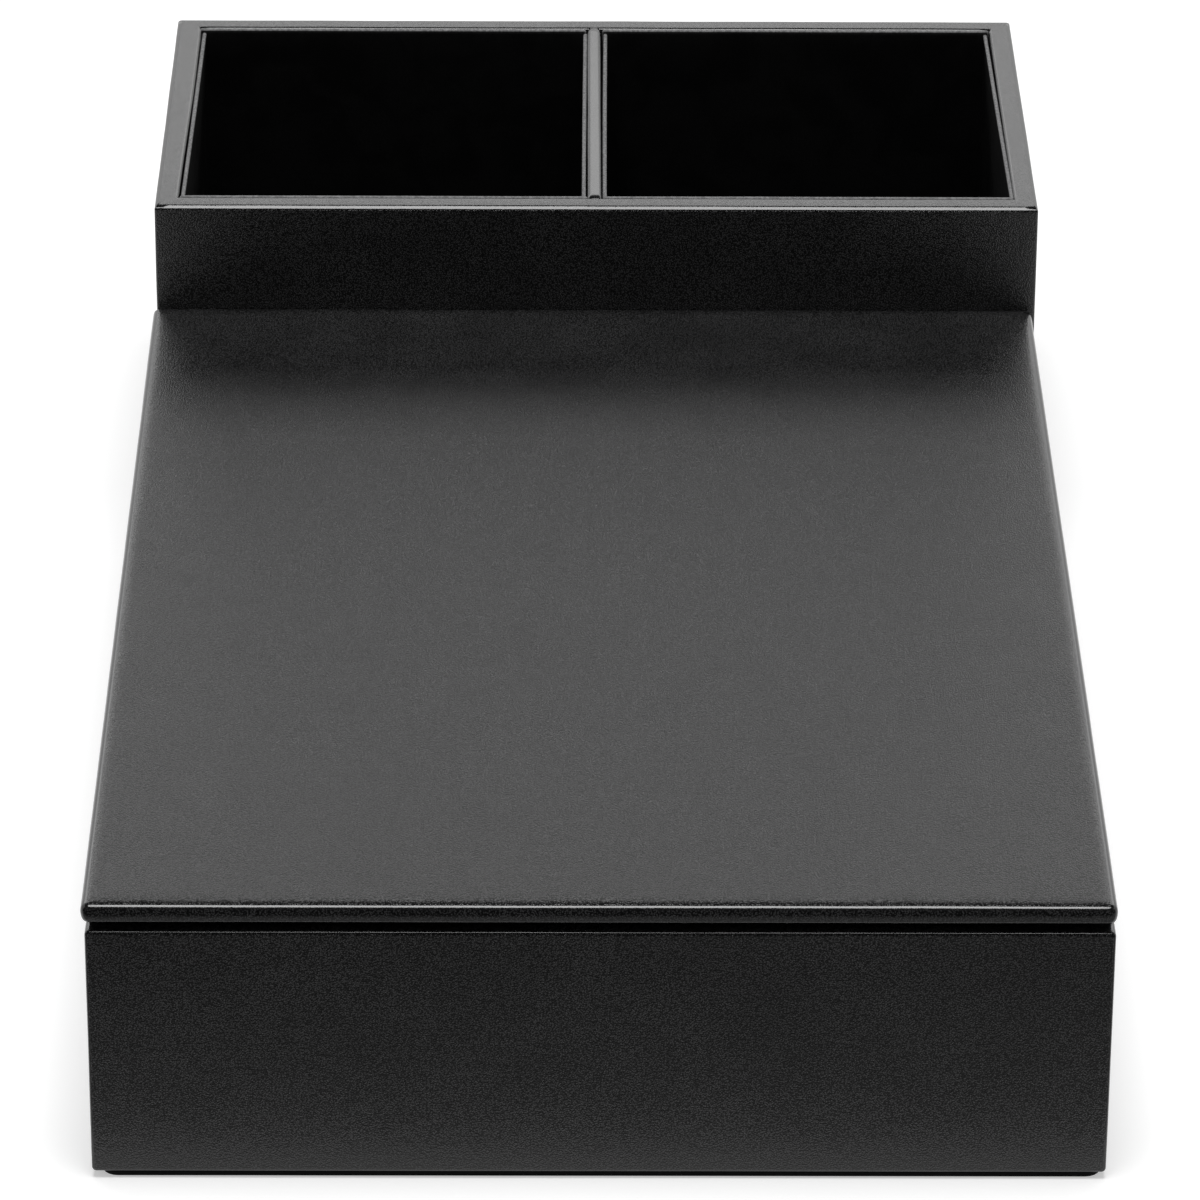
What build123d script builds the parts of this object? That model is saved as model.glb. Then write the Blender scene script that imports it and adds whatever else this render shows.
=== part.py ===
from build123d import *

import os

# Condiment organizer: a low housing with a flat platform on top and a drawer inside, and a
# taller box of two open bins behind it. The boards are fibreboard, glued up and wrapped by
# hand in leatherette. The bins and the drawer are lined with velveteen-covered card.
# Millimetres, +Z up, front towards -Y. The origin is on the table, under the middle of the
# outline.

# Overall sizes
platform_width = 254.4
platform_length = 352.0  # from the platform's front edge to the bin box
platform_height = 78.4  # from the table to the platform's top
bin_box_width = 254.4
bin_box_depth = 142.0
bin_box_height = 109.8
box_offset = 1.0  # how far the bin box stands to the right of the platform
housing_offset = 0.3  # how far the drawer housing stands to the right of the platform
drawer_box_height = 58.0

# Sheet materials
cover = 0.6  # leatherette
wall_board = 5.2  # bin box, housing sides and drawer face
platform_board = 4.0
floor_board = 4.0
divider_board = 2.7
drawer_board = 4.0
lining = 0.5  # thin cloth inside the housing and under the drawer
pad = 1.5  # velveteen-covered card on the floors
liner = 1.3  # velveteen-covered card on the walls
base_plate = 1.5  # felt-covered card under the whole organizer

# How the covers are folded and the edges eased
turn_in = 15.0  # leatherette glued down past an edge or a rim
turn_under = 12.0  # leatherette glued down under a floor
mitre_gap = 0.4  # between two flaps that meet at a corner
fold_ratio = 2.0  # outer radius of a folded cover, in cover thicknesses
platform_edge = 2.0  # radius round the platform's upper edge
face_edge = 1.2  # radius round the front of the drawer face
corner_ease = 0.4  # a panel's corners are rounder than its edges by this much
liner_corner = 3.0
pad_corner = 1.0
base_corner = 4.0
base_side_inset = 2.4
base_front_inset = 1.0

# Fits
side_reveal = 0.6  # the platform is this much wider than the housing on each side
front_reveal = 0.5  # and stands this far out past the drawer face
front_gap = 2.5  # between the platform and the drawer face's upper edge
base_clearance = 0.3  # between the base plate and the drawer face's lower edge
closing_gap = 0.3  # between the housing and the closed drawer face
floor_clearance = 0.3
side_clearance = 0.5
back_clearance = 2.0
liner_gap = 0.4
liner_drop = 0.5  # the liners stop this far below the rim
fit_gap = 0.05

# Places worked out from the sizes
platform_x = -box_offset / 2
bins_x = box_offset / 2
housing_x = platform_x + housing_offset
y_front = -(platform_length + bin_box_depth) / 2
y_seam = y_front + platform_length
y_back = y_seam + bin_box_depth

fold = fold_ratio * cover
wall = wall_board + 2 * cover
boards_bottom = base_plate + cover
floor_top = boards_bottom + floor_board
platform_under = platform_height - platform_board - 2 * cover

housing_width = platform_width - 2 * side_reveal
face_back = y_front + front_reveal + wall
face_bottom = base_plate + base_clearance
face_top = platform_under - front_gap
housing_front = face_back + closing_gap

drawer_width = housing_width - 2 * (wall + side_clearance)
drawer_bottom = floor_top + lining + floor_clearance
drawer_top = drawer_bottom + drawer_box_height
drawer_back = y_seam - back_clearance


def about(centre, width):
    return (centre - width / 2, centre + width / 2)


def inside(span, margin):
    return (span[0] + margin, span[1] - margin)


def middle(span):
    return (span[0] + span[1]) / 2


def length(span):
    return span[1] - span[0]


def save(piece, name):
    piece.label = name
    export_step(piece, f"parts/{name}.step")


def sheet(x_span, y_span, z_span):
    # A square-edged board or a cloth that fills three spans
    with BuildPart() as piece:
        with BuildSketch(Plane.XY.offset(z_span[0])):
            with Locations((middle(x_span), middle(y_span))):
                Rectangle(length(x_span), length(y_span))
        extrude(amount=length(z_span))
    return piece.part


def rounded_card(x_span, y_span, z_span, corner):
    # A covered card with its corners rounded in plan
    with BuildPart() as piece:
        with BuildSketch(Plane.XY.offset(z_span[0])):
            with Locations((middle(x_span), middle(y_span))):
                RectangleRounded(length(x_span), length(y_span), corner)
        extrude(amount=length(z_span))
    return piece.part


def flap_mitres(u_span, v_span, depth):
    # The slits between the four flaps of a cover, drawn on the face that the flaps lie on.
    # Each runs a little past the flaps, so the flaps' tips stay apart.
    reach = depth + mitre_gap - fold
    for u_side in (-1, 1):
        for v_side in (-1, 1):
            u = middle(u_span) + u_side * (length(u_span) / 2 - fold - reach / 2)
            v = middle(v_span) + v_side * (length(v_span) / 2 - fold - reach / 2)
            with Locations((u, v)):
                Rectangle(reach * 2**0.5, mitre_gap, rotation=45 * u_side * v_side)


def panel_board(back, u_span, v_span, thickness, edge):
    # The board of a wrapped panel, with the edges of its face eased. The plane is the
    # panel's back, and its normal points to the face.
    outward = Axis(back.origin, back.z_dir)
    with BuildPart() as core:
        with BuildSketch(back.offset(cover)):
            with Locations((middle(u_span), middle(v_span))):
                RectangleRounded(
                    length(u_span) - 2 * cover,
                    length(v_span) - 2 * cover,
                    edge + corner_ease - cover,
                )
        extrude(amount=thickness)
        fillet(core.faces().sort_by(outward)[-1].edges(), edge - cover)
    return core.part


def panel_cover(back, u_span, v_span, thickness, edge, core):
    # The leatherette round a panel, glued down on its back in four mitred flaps
    outward = Axis(back.origin, back.z_dir)
    with BuildPart() as wrap:
        with BuildSketch(back):
            with Locations((middle(u_span), middle(v_span))):
                RectangleRounded(length(u_span), length(v_span), edge + corner_ease)
        extrude(amount=thickness + 2 * cover)
        fillet(wrap.faces().sort_by(outward)[-1].edges(), edge)
        fillet(wrap.faces().sort_by(outward)[0].edges(), fold)
        add(core, mode=Mode.SUBTRACT)
        with BuildSketch(back):
            with Locations((middle(u_span), middle(v_span))):
                Rectangle(length(u_span) - 2 * turn_in, length(v_span) - 2 * turn_in)
            flap_mitres(u_span, v_span, turn_in)
        extrude(amount=cover, mode=Mode.SUBTRACT)
    return wrap.part


def box_boards(x_span, y_span, z_span, thickness):
    # The four wall boards of an open box, inside its cover. The end boards stand between
    # the side boards.
    x_out, y_out, z = inside(x_span, cover), inside(y_span, cover), inside(z_span, cover)
    x_in, y_in = inside(x_out, thickness), inside(y_out, thickness)
    return {
        "left": sheet((x_out[0], x_in[0]), y_out, z),
        "right": sheet((x_in[1], x_out[1]), y_out, z),
        "front": sheet(x_in, (y_out[0], y_in[0]), z),
        "back": sheet(x_in, (y_in[1], y_out[1]), z),
    }


def box_cover(x_span, y_span, z_span, thickness, boards):
    # One leatherette wrap round an open box: up the outside, over the rim and down inside
    # it, and glued down under the floor in four mitred flaps
    centre = (middle(x_span), middle(y_span))
    x_in, y_in = inside(x_span, thickness + 2 * cover), inside(y_span, thickness + 2 * cover)
    underside = Plane.XY.offset(z_span[0])
    with BuildPart() as wrap:
        with BuildSketch(underside):
            with Locations(centre):
                Rectangle(length(x_span), length(y_span))
        extrude(amount=length(z_span))
        fillet(wrap.edges(), fold)
        with BuildSketch(underside.offset(cover)):
            with Locations(centre):
                Rectangle(length(x_in), length(y_in))
        extrude(amount=length(z_span), mode=Mode.SUBTRACT)
        fillet(wrap.faces().sort_by(Axis.Z)[-1].inner_wires()[0].edges(), fold)
        with BuildSketch(underside.offset(cover)):
            with Locations(centre):
                Rectangle(length(x_in) + 2 * cover, length(y_in) + 2 * cover)
        extrude(amount=length(z_span) - cover - turn_in, mode=Mode.SUBTRACT)
        with BuildSketch(underside):
            with Locations(centre):
                Rectangle(length(x_span) - 2 * turn_under, length(y_span) - 2 * turn_under)
            flap_mitres(x_span, y_span, turn_under)
        extrude(amount=cover, mode=Mode.SUBTRACT)
        for piece in boards.values():
            add(piece, mode=Mode.SUBTRACT)
    return wrap.part


def liner_panel(plane, span, z_span):
    # A velveteen-covered card that stands on edge, with its two upper corners rounded
    with BuildPart() as panel:
        with BuildSketch(plane) as outline:
            with Locations((middle(span), middle(z_span))):
                Rectangle(length(span), length(z_span))
            fillet(outline.vertices().group_by(Axis.Y)[-1], liner_corner)
        extrude(amount=liner)
    return panel.part


def box_lining(name, x_clear, y_clear, z_span):
    # The four liners and the floor pad of a box, given the clear spans between its walls.
    # The side liners stand between the end liners.
    x, y = inside(x_clear, liner_gap), inside(y_clear, liner_gap)
    z = (z_span[0], z_span[1] - liner_drop)
    save(liner_panel(Plane.XZ.offset(-y[0] - liner), x, z), f"{name}_front_liner")
    save(liner_panel(Plane.XZ.offset(-y[1]), x, z), f"{name}_back_liner")
    save(liner_panel(Plane.YZ.offset(x[0]), inside(y, liner), z), f"{name}_left_liner")
    save(liner_panel(Plane.YZ.offset(x[1] - liner), inside(y, liner), z), f"{name}_right_liner")
    pad_edge = liner + fit_gap
    floor_pad = rounded_card(
        inside(x, pad_edge), inside(y, pad_edge), (z[0], z[0] + pad), pad_corner
    )
    save(floor_pad, f"{name}_pad")


def housing_wall(name, outer, inward):
    # A side wall of the drawer housing. Its cover is turned round the front edge and under
    # the lower edge, and the board's upper edge is glued to the platform. A cloth lines the
    # wall behind the turned-in strip.
    def x_span(near, far):
        return sorted((outer + inward * near, outer + inward * far))

    strip_x = x_span(cover + wall_board, wall)
    board_y, bare_y = (housing_front + cover, y_seam), (housing_front + turn_in, y_seam)
    core = sheet(x_span(cover, cover + wall_board), board_y, (boards_bottom, platform_under))
    bare_strip = sheet(strip_x, bare_y, (boards_bottom, platform_under))
    floor_slot = sheet(strip_x, board_y, (boards_bottom, floor_top + lining))
    flap = sheet(x_span(fold, turn_under), board_y, (base_plate, boards_bottom))
    with BuildPart() as wrap:
        with BuildSketch(Plane.XY.offset(base_plate)):
            with Locations((outer + inward * wall / 2, (housing_front + y_seam) / 2)):
                Rectangle(wall, y_seam - housing_front)
        extrude(amount=platform_under - base_plate)
        front_face = wrap.faces().sort_by(Axis.Y)[0]
        outer_face = wrap.faces().sort_by(Axis.X)[min(inward, 0)]
        lower_edge = outer_face.edges().sort_by(Axis.Z)[0]
        fillet(front_face.edges().filter_by(Axis.Z) + [lower_edge], fold)
        for piece in (core, bare_strip, floor_slot):
            add(piece, mode=Mode.SUBTRACT)
        add(flap)
    save(core, f"{name}_board")
    save(wrap.part, f"{name}_cover")
    lining_x = x_span(cover + wall_board, cover + wall_board + lining)
    save(sheet(lining_x, bare_y, (floor_top + lining, platform_under - lining)), f"{name}_lining")


def housing_floor(name, x_board, x_cloth):
    # The housing's floor board, and the cloth that the drawer runs on, which laps over the
    # board's front edge
    board = sheet(x_board, (housing_front + cover, y_seam), (boards_bottom, floor_top))
    save(board, f"{name}_board")
    with BuildPart() as cloth:
        with BuildSketch(Plane.YZ.offset(x_cloth[0])):
            with BuildLine():
                Polyline(
                    (housing_front, boards_bottom),
                    (housing_front + cover, boards_bottom),
                    (housing_front + cover, floor_top),
                    (y_seam, floor_top),
                    (y_seam, floor_top + lining),
                    (housing_front, floor_top + lining),
                    close=True,
                )
            make_face()
        extrude(amount=length(x_cloth))
    save(cloth.part, f"{name}_lining")


os.makedirs("parts", exist_ok=True)

# Base plate under both boxes
base_x = (housing_x - housing_width / 2, bins_x + bin_box_width / 2)
base_y = (y_front + front_reveal + base_front_inset, y_back - base_side_inset)
base = rounded_card(inside(base_x, base_side_inset), base_y, (0, base_plate), base_corner)
save(base, "base_plate")

# Platform
platform_back = Plane.XY.offset(platform_under)
platform_spans = (about(platform_x, platform_width), (y_front, y_seam))
platform_core = panel_board(platform_back, *platform_spans, platform_board, platform_edge)
save(platform_core, "platform_board")
platform_wrap = panel_cover(
    platform_back, *platform_spans, platform_board, platform_edge, platform_core
)
save(platform_wrap, "platform_cover")

# Drawer housing: walls, floor and the cloth on the platform's underside
housing_x_span = about(housing_x, housing_width)
housing_wall("housing_left", housing_x_span[0], 1)
housing_wall("housing_right", housing_x_span[1], -1)
bay_x = inside(housing_x_span, wall + fit_gap)
housing_floor("housing_floor", inside(housing_x_span, cover + wall_board), bay_x)
ceiling = sheet(bay_x, (housing_front, y_seam), (platform_under - lining, platform_under))
save(ceiling, "housing_ceiling_lining")

# Bin box
bins_spans = (
    about(bins_x, bin_box_width),
    (y_seam, y_back),
    (base_plate, bin_box_height),
)
bin_boards = box_boards(*bins_spans, wall_board)
for side, piece in bin_boards.items():
    save(piece, f"bin_box_{side}_board")
save(box_cover(*bins_spans, wall_board, bin_boards), "bin_box_cover")
bin_floor = sheet(
    inside(bins_spans[0], cover + wall_board),
    inside(bins_spans[1], cover + wall_board),
    (boards_bottom, floor_top),
)
save(bin_floor, "bin_box_floor_board")

# Divider between the two bins: a thin board with a cover folded over its upper edge
clear_x, clear_y = inside(bins_spans[0], wall), inside(bins_spans[1], wall)
divider_x = about(bins_x, divider_board + 2 * cover)
divider_core = sheet(inside(divider_x, cover), clear_y, (floor_top, bin_box_height - cover))
save(divider_core, "divider_board")
with BuildPart() as divider_wrap:
    with BuildSketch(Plane.XY.offset(floor_top)):
        with Locations((bins_x, middle(clear_y))):
            Rectangle(length(divider_x), length(clear_y))
    extrude(amount=bin_box_height - floor_top)
    fillet(divider_wrap.faces().sort_by(Axis.Z)[-1].edges().filter_by(Axis.Y), fold)
    add(divider_core, mode=Mode.SUBTRACT)
save(divider_wrap.part, "divider_cover")

# Linings of the two bins
bin_z = (floor_top, bin_box_height)
box_lining("left_bin", (clear_x[0], divider_x[0]), clear_y, bin_z)
box_lining("right_bin", (divider_x[1], clear_x[1]), clear_y, bin_z)

# Drawer face
face_plane = Plane.XZ.offset(-face_back)
face_spans = (housing_x_span, (face_bottom, face_top))
face_core = panel_board(face_plane, *face_spans, wall_board, face_edge)
save(face_core, "drawer_face_board")
face_wrap = panel_cover(face_plane, *face_spans, wall_board, face_edge, face_core)
save(face_wrap, "drawer_face_cover")

# Drawer box, glued to the back of the drawer face
drawer_spans = (
    about(housing_x, drawer_width),
    (face_back, drawer_back),
    (drawer_bottom, drawer_top),
)
drawer_boards = box_boards(*drawer_spans, drawer_board)
for side, piece in drawer_boards.items():
    save(piece, f"drawer_{side}_board")
save(box_cover(*drawer_spans, drawer_board, drawer_boards), "drawer_box_cover")
drawer_floor_top = drawer_bottom + cover + floor_board
drawer_floor = sheet(
    inside(drawer_spans[0], cover + drawer_board),
    inside(drawer_spans[1], cover + drawer_board),
    (drawer_bottom + cover, drawer_floor_top),
)
save(drawer_floor, "drawer_floor_board")
under_cloth = sheet(
    inside(drawer_spans[0], turn_under + fit_gap),
    inside(drawer_spans[1], turn_under + fit_gap),
    (drawer_bottom + cover - lining, drawer_bottom + cover),
)
save(under_cloth, "drawer_under_cloth")
box_lining(
    "drawer",
    inside(drawer_spans[0], drawer_board + 2 * cover),
    inside(drawer_spans[1], drawer_board + 2 * cover),
    (drawer_floor_top, drawer_top),
)
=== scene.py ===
import math

import bmesh
import bpy
import numpy as np
from mathutils import Matrix, Vector, noise


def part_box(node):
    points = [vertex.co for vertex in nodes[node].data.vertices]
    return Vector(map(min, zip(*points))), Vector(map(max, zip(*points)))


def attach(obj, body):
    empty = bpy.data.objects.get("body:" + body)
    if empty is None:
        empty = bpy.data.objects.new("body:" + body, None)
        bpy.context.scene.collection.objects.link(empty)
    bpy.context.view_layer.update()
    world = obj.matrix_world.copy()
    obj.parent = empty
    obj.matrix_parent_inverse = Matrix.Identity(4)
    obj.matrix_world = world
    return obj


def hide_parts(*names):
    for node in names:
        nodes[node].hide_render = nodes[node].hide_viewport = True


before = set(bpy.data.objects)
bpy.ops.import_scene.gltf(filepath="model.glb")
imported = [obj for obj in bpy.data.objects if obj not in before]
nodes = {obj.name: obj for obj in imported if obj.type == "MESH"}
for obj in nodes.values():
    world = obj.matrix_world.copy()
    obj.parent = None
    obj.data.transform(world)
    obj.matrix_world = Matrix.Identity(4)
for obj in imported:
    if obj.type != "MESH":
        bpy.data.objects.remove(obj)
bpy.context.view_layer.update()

# Condiment organizer in black leatherette: a low drawer housing with a flat platform, and two
# open bins behind it. Everything is in metres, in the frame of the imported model.

mm = 0.001


def addToScene(name, data):
    thing = bpy.data.objects.new(name, data)
    bpy.context.scene.collection.objects.link(thing)
    return thing


# camera

cameraSetup = {
    "location": (-0.0135, -1.7257, 0.9166),
    "lens": 208.35,
    "pitchDown": 27.02,
    "yaw": -0.49,
    "roll": 0.341,
}


def addCamera(setup):
    pitch, yaw, roll = (math.radians(setup[k]) for k in ("pitchDown", "yaw", "roll"))
    side = Vector((math.cos(yaw), math.sin(yaw), 0))
    level = Vector((-math.sin(yaw), math.cos(yaw), 0))
    forward = level * math.cos(pitch) - Vector((0, 0, math.sin(pitch)))
    up = level * math.sin(pitch) + Vector((0, 0, math.cos(pitch)))
    right = side * math.cos(roll) + up * math.sin(roll)
    top = up * math.cos(roll) - side * math.sin(roll)
    data = bpy.data.cameras.new("camera")
    data.lens = setup["lens"]
    data.sensor_width = 36
    data.clip_start, data.clip_end = 0.05, 50
    camera = addToScene("camera", data)
    camera.matrix_world = Matrix.Translation(setup["location"]) @ Matrix(
        (right, top, -forward)
    ).transposed().to_4x4()
    bpy.context.scene.camera = camera


addCamera(cameraSetup)
bpy.context.scene.view_settings.view_transform = "Standard"
print("camera ready")

# shader node groups


def newGroup(name, inputs, outputs):
    # Every group takes a place and some numbers, and gives numbers
    group = bpy.data.node_groups.new(name, "ShaderNodeTree")
    group.interface.new_socket("Place", in_out="INPUT", socket_type="NodeSocketVector")
    for key, value in inputs.items():
        socket = group.interface.new_socket(key, in_out="INPUT", socket_type="NodeSocketFloat")
        socket.default_value = value
    for key in outputs:
        group.interface.new_socket(key, in_out="OUTPUT", socket_type="NodeSocketFloat")
    return group, group.nodes.new("NodeGroupInput"), group.nodes.new("NodeGroupOutput")


def feed(tree, socket, value):
    # A socket takes a link or a plain value
    if isinstance(value, bpy.types.NodeSocket):
        tree.links.new(value, socket)
    else:
        socket.default_value = value


def addNode(tree, kind, settings=None, **values):
    node = tree.nodes.new(kind)
    for key, value in (settings or {}).items():
        setattr(node, key, value)
    for key, value in values.items():
        feed(tree, node.inputs[key.replace("_", " ")], value)
    return node


def mathNode(tree, operation, first, second=0.0):
    node = tree.nodes.new("ShaderNodeMath")
    node.operation = operation
    feed(tree, node.inputs[0], first)
    feed(tree, node.inputs[1], second)
    return node.outputs[0]


def times(tree, first, second):
    return mathNode(tree, "MULTIPLY", first, second)


def splitVector(tree, vector):
    node = tree.nodes.new("ShaderNodeSeparateXYZ")
    tree.links.new(vector, node.inputs[0])
    return node.outputs


def noiseNode(tree, place, scale, **values):
    return addNode(tree, "ShaderNodeTexNoise", Vector=place, Scale=scale, **values).outputs[0]


def pointsNode(tree, place, scale):
    # Distances to scattered points
    return addNode(tree, "ShaderNodeTexVoronoi", {"feature": "F1"}, Vector=place, Scale=scale)


def rangeNode(tree, value, low, high, toLow, toHigh):
    node = tree.nodes.new("ShaderNodeMapRange")
    node.interpolation_type = "SMOOTHSTEP"
    tree.links.new(value, node.inputs["Value"])
    limits = {"From Min": low, "From Max": high, "To Min": toLow, "To Max": toHigh}
    for key, number in limits.items():
        feed(tree, node.inputs[key], number)
    return node.outputs["Result"]


def mixColours(tree, factor, first, second, blend="MIX"):
    node = tree.nodes.new("ShaderNodeMix")
    node.data_type, node.blend_type = "RGBA", blend
    # The colour sockets of a Mix node are its seventh and eighth
    for index, value in ((0, factor), (6, first), (7, second)):
        feed(tree, node.inputs[index], value)
    return node.outputs[2]


def scaledPlace(tree, vector, scale):
    node = addNode(tree, "ShaderNodeVectorMath", {"operation": "SCALE"})
    tree.links.new(vector, node.inputs[0])
    feed(tree, node.inputs["Scale"], scale)
    return node.outputs[0]


def makeFineGrain():
    # Small soft pebbles with pores between them, as pressed into a leatherette's skin
    group, inside, outside = newGroup(
        "fineGrain", {"Pebbles per metre": 1700.0}, ("Height", "Pores")
    )
    place = scaledPlace(group, inside.outputs["Place"], inside.outputs["Pebbles per metre"])
    pebbles = pointsNode(group, place, 1.0)
    fine = noiseNode(group, place, 1.5, Detail=0.0)
    dome = rangeNode(group, pebbles.outputs["Distance"], 0.05, 0.8, 1.0, 0.0)
    height = mathNode(group, "ADD", dome, times(group, fine, 0.7))
    group.links.new(height, outside.inputs["Height"])
    pores = rangeNode(group, pebbles.outputs["Distance"], 0.42, 0.8, 0.0, 1.0)
    group.links.new(pores, outside.inputs["Pores"])
    return group


def makeUnevenness():
    # Broad soft patches, for colour and gloss that are never quite even over a hand-made piece
    group, inside, outside = newGroup(
        "unevenness", {"Patches per metre": 25.0, "Contrast": 0.5}, ["Mask"]
    )
    place, perMetre = inside.outputs["Place"], inside.outputs["Patches per metre"]
    patches = noiseNode(group, place, perMetre, Detail=2.0, Roughness=0.6)
    half = times(group, inside.outputs["Contrast"], 0.5)
    low, high = mathNode(group, "ADD", half, 0.05), mathNode(group, "SUBTRACT", 0.95, half)
    mask = rangeNode(group, patches, low, high, 0.0, 1.0)
    group.links.new(mask, outside.inputs["Mask"])
    return group


def makeEdgePullAndPaint():
    # Where a cover is pulled over an edge: the pull attribute, and from it the mask of a painted
    # edge tone, broken up by a noise. The tone is painted shade on the leatherette and a painted
    # highlight on the pile fabrics.
    group, inside, outside = newGroup(
        "edgePullAndPaint", {"Amount": 1.0, "Breaks per metre": 240.0}, ("Pull", "PaintedEdge")
    )
    pull = addNode(group, "ShaderNodeAttribute", {"attribute_name": "pull"})
    group.links.new(pull.outputs["Fac"], outside.inputs["Pull"])
    place, perMetre = inside.outputs["Place"], inside.outputs["Breaks per metre"]
    breakUp = noiseNode(group, place, perMetre, Detail=2.0, Roughness=0.65)
    broken = rangeNode(group, breakUp, 0.36, 0.66, 0.55, 1.0)
    edgePaint = times(group, pull.outputs["Fac"], broken)
    edgePaint = times(group, edgePaint, inside.outputs["Amount"])
    group.links.new(edgePaint, outside.inputs["PaintedEdge"])
    return group


def makeFineDust():
    # Specks of lint and dust, mostly on what faces up
    group, inside, outside = newGroup(
        "fineDust", {"Specks per metre": 900.0, "Amount": 0.3}, ["Mask"]
    )
    specks = pointsNode(group, inside.outputs["Place"], inside.outputs["Specks per metre"])
    near = rangeNode(group, specks.outputs["Distance"], 0.0, 0.16, 1.0, 0.0)
    chosen = addNode(group, "ShaderNodeSeparateColor")
    group.links.new(specks.outputs["Color"], chosen.inputs[0])
    few = rangeNode(group, chosen.outputs[0], 0.9, 0.97, 0.0, 1.0)
    geometry = addNode(group, "ShaderNodeNewGeometry")
    facing = splitVector(group, geometry.outputs["Normal"])
    upward = rangeNode(group, facing["Z"], 0.1, 0.9, 0.15, 1.0)
    mask = times(group, times(group, near, few), upward)
    mask = times(group, mask, inside.outputs["Amount"])
    group.links.new(mask, outside.inputs["Mask"])
    return group


def makeShortPile():
    # A dense short pile that leans one way and then another
    group, inside, outside = newGroup(
        "shortPile", {"Tufts per metre": 3200.0, "Leaning per metre": 60.0}, ("Height", "Lean")
    )
    stretched = addNode(
        group, "ShaderNodeMapping", Vector=inside.outputs["Place"], Scale=(1.0, 1.0, 0.4)
    )
    perMetre = inside.outputs["Tufts per metre"]
    tufts = noiseNode(group, stretched.outputs[0], perMetre, Detail=3.0, Roughness=0.75)
    group.links.new(tufts, outside.inputs["Height"])
    place, perMetre = inside.outputs["Place"], inside.outputs["Leaning per metre"]
    lean = noiseNode(group, place, perMetre, Detail=3.0, Distortion=0.6)
    group.links.new(rangeNode(group, lean, 0.35, 0.65, 0.0, 1.0), outside.inputs["Lean"])
    return group


def makePlainWeave():
    # Over and under threads of a thin cloth, from three crossed waves
    group, inside, outside = newGroup("plainWeave", {"Threads per metre": 1500.0}, ["Height"])
    place, threads = inside.outputs["Place"], inside.outputs["Threads per metre"]
    split = splitVector(group, place)
    waves = []
    for axes in ("XY", "YZ", "ZX"):
        rows = []
        for axis in axes:
            turn = times(group, split[axis], threads)
            rows.append(mathNode(group, "SINE", times(group, turn, math.pi)))
        waves.append(times(group, *rows))
    total = mathNode(group, "ADD", mathNode(group, "ADD", waves[0], waves[1]), waves[2])
    slubs = noiseNode(group, place, 900.0, Detail=2.0)
    height = mathNode(group, "ADD", times(group, total, 0.25), slubs)
    group.links.new(height, outside.inputs["Height"])
    return group


fineGrain, unevenness, edgePullAndPaint = makeFineGrain(), makeUnevenness(), makeEdgePullAndPaint()
fineDust, shortPile, plainWeave = makeFineDust(), makeShortPile(), makePlainWeave()
print("node groups ready")

# materials


def emptyTree(owner):
    owner.use_nodes = True
    owner.node_tree.nodes.clear()
    return owner.node_tree


def startMaterial(name):
    material = bpy.data.materials.new(name)
    tree = emptyTree(material)
    shader = tree.nodes.new("ShaderNodeBsdfPrincipled")
    output = tree.nodes.new("ShaderNodeOutputMaterial")
    tree.links.new(shader.outputs[0], output.inputs["Surface"])
    place = tree.nodes.new("ShaderNodeTexCoord").outputs["Object"]
    return material, tree, shader, place


def placeGroup(tree, group, place, **values):
    node = tree.nodes.new("ShaderNodeGroup")
    node.node_tree = group
    tree.links.new(place, node.inputs["Place"])
    for key, value in values.items():
        node.inputs[key.replace("_", " ")].default_value = value
    return node


def addBump(tree, shader, height, distance):
    bump = addNode(tree, "ShaderNodeBump", Height=height, Distance=distance, Strength=1.0)
    tree.links.new(bump.outputs[0], shader.inputs["Normal"])


def addDust(tree, place, dust, colour):
    # Dust on top of a colour. dust is the specks' number and amount, and their own colour.
    specks, amount, speckColour = dust
    mask = placeGroup(tree, fineDust, place, Specks_per_metre=specks, Amount=amount)
    return mixColours(tree, mask.outputs["Mask"], colour, speckColour)


leatherette = {
    "colour": (0.0160, 0.0160, 0.0164, 1),
    "patchColour": (0.0205, 0.0205, 0.0210, 1),
    # painted shade in the pores between pebbles
    "paintedPoreShade": (0.0030, 0.0030, 0.0031, 1),
    # painted shade: the turned edges are painted darker than the face
    "paintedEdgeColour": (0.008, 0.008, 0.0082, 1),
    "dust": (520.0, 0.18, (0.13, 0.13, 0.125, 1)),
    "patches": 55.0,
    "patchContrast": 0.45,
    "edgeBreaks": 260.0,
    "roughness": (0.28, 0.33),
    "poreRoughness": 0.10,
    "edgeRoughness": 0.15,
    "edgePull": 0.2,  # the pull at which the skin is stretched tight
    "edgeFlattening": 0.94,  # how much of the grain is gone there
    "ior": 1.5,
    "grainDepth": 0.085 * mm,
    "grainHeights": (0.45, 1.35),
    # painted shade of the grain: creases darker, pebble tops lighter
    "paintedGrainShade": (0.1, 2.3),
    "pebbles": 2250.0,
}


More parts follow.
